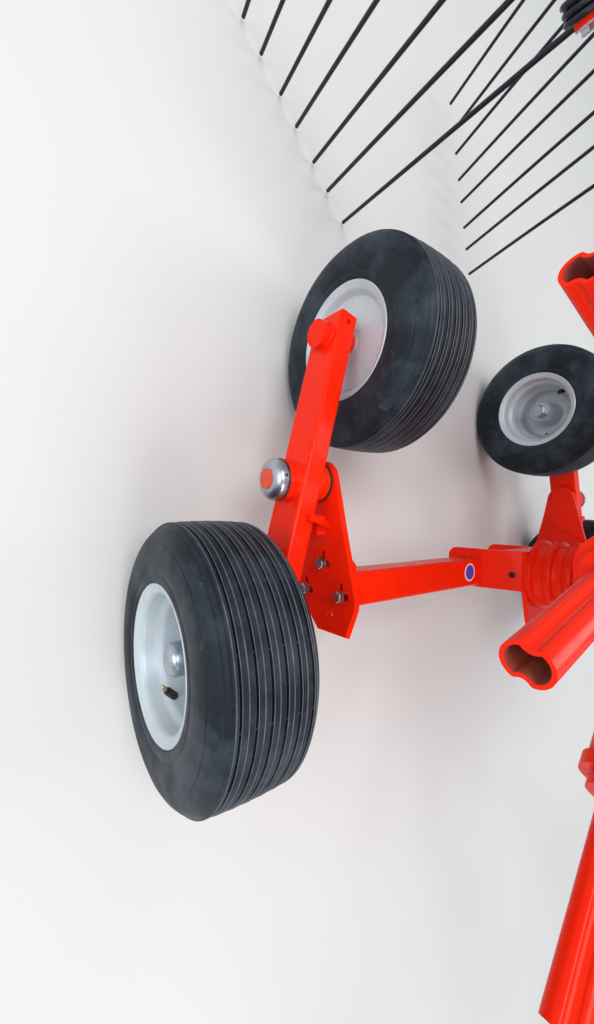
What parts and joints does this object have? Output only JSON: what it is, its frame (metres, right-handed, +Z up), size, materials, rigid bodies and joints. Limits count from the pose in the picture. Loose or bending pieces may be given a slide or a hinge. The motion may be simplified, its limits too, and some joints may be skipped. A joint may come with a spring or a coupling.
{
  "type": "rotary rake rotor unit",
  "caption": "Rotary rake rotor unit: tine arms and empty grooved arm sockets round a drum, carried by a ringed column on a tandem running gear of wheels on oblique rocking beams.",
  "frame": {"origin": "middle of the top flange's face, on the rotor's axis", "axes": "+X forward, the way it is towed, +Y to the left, +Z up along the rotor's axis"},
  "size_m": [2.9992, 1.6995, 0.88],
  "materials": {
    "frame_paint": "gloss orange-red enamel",
    "rim_silver": "satin silver-grey enamel",
    "tyre": "dusty bluish-black rubber",
    "zinc": "bright zinc plate",
    "steel": "plain turned steel",
    "spring_black": "satin black spring steel"
  },
  "bodies": {
    "chassis": {"centre_shaft": "steel", "chassis_foot": "frame_paint", "column_rings": "frame_paint", "gear_case": "frame_paint", "input_shaft": "steel", "top_flange": "frame_paint", "axle_tubes": "frame_paint", "end_plates": "frame_paint", "brackets": "frame_paint", "pivot_pins": "frame_paint", "pivot_caps": "zinc", "beams": "frame_paint", "stub_axles": "steel"},
    "rotor": {"rotor_drum": "frame_paint", "arm_housings": "frame_paint", "empty_sockets": "frame_paint"},
    "left_front_wheel": {"left_front_tyre": "tyre", "left_front_rim": "rim_silver", "left_front_hub_cap": "zinc"},
    "left_rear_wheel": {"left_rear_tyre": "tyre", "left_rear_rim": "rim_silver", "left_rear_hub_cap": "zinc"},
    "right_front_wheel": {"right_front_tyre": "tyre", "right_front_rim": "rim_silver", "right_front_hub_cap": "zinc"},
    "right_rear_wheel": {"right_rear_tyre": "tyre", "right_rear_rim": "rim_silver", "right_rear_hub_cap": "zinc"},
    "front_left_arm": {"front_left_arm_socket": "frame_paint", "front_left_arm_bar": "frame_paint", "front_left_arm_tines": "spring_black"},
    "front_right_arm": {"front_right_arm_socket": "frame_paint", "front_right_arm_bar": "frame_paint", "front_right_arm_tines": "spring_black"},
    "rear_right_arm": {"rear_right_arm_socket": "frame_paint", "rear_right_arm_bar": "frame_paint", "rear_right_arm_tines": "spring_black"},
    "rear_left_arm": {"rear_left_arm_socket": "frame_paint", "rear_left_arm_bar": "frame_paint", "rear_left_arm_tines": "spring_black"}
  },
  "joints": [
    {"name": "rotor_spin", "type": "hinge", "parent": "chassis", "child": "rotor", "pos_m": [0, 0, -0.23], "axis": [0, 0, 1], "continuous": true},
    {"name": "left_front_wheel_spin", "type": "hinge", "parent": "chassis", "child": "left_front_wheel", "pos_m": [0.471, 0.414, -0.675], "axis": [0, 1, 0], "continuous": true},
    {"name": "left_rear_wheel_spin", "type": "hinge", "parent": "chassis", "child": "left_rear_wheel", "pos_m": [-0.082, 0.768, -0.675], "axis": [0, 1, 0], "continuous": true},
    {"name": "right_front_wheel_spin", "type": "hinge", "parent": "chassis", "child": "right_front_wheel", "pos_m": [0.471, -0.414, -0.675], "axis": [0, 1, 0], "continuous": true},
    {"name": "right_rear_wheel_spin", "type": "hinge", "parent": "chassis", "child": "right_rear_wheel", "pos_m": [-0.082, -0.768, -0.675], "axis": [0, 1, 0], "continuous": true},
    {"name": "front_left_arm_swing", "type": "hinge", "parent": "rotor", "child": "front_left_arm", "pos_m": [0.70718, 0.41698, -0.23], "axis": [-0.7254, -0.6884, 0], "range_deg": [-6, 59]},
    {"name": "front_right_arm_swing", "type": "hinge", "parent": "rotor", "child": "front_right_arm", "pos_m": [0.82092, 0.00753, -0.23], "axis": [-0.9724, -0.2334, 0], "range_deg": [-12.1, 59]},
    {"name": "rear_right_arm_swing", "type": "hinge", "parent": "rotor", "child": "rear_right_arm", "pos_m": [-0.70718, -0.41698, -0.23], "axis": [0.7254, 0.6884, 0], "range_deg": [-55, 10]},
    {"name": "rear_left_arm_swing", "type": "hinge", "parent": "rotor", "child": "rear_left_arm", "pos_m": [-0.82092, -0.00753, -0.23], "axis": [0.9724, 0.2334, 0], "range_deg": [-55, 10]}
  ],
  "couplings": [
    {"joint": "front_right_arm_swing", "follows": "front_left_arm_swing", "ratio": 1},
    {"joint": "rear_right_arm_swing", "follows": "rear_left_arm_swing", "ratio": 1}
  ]
}
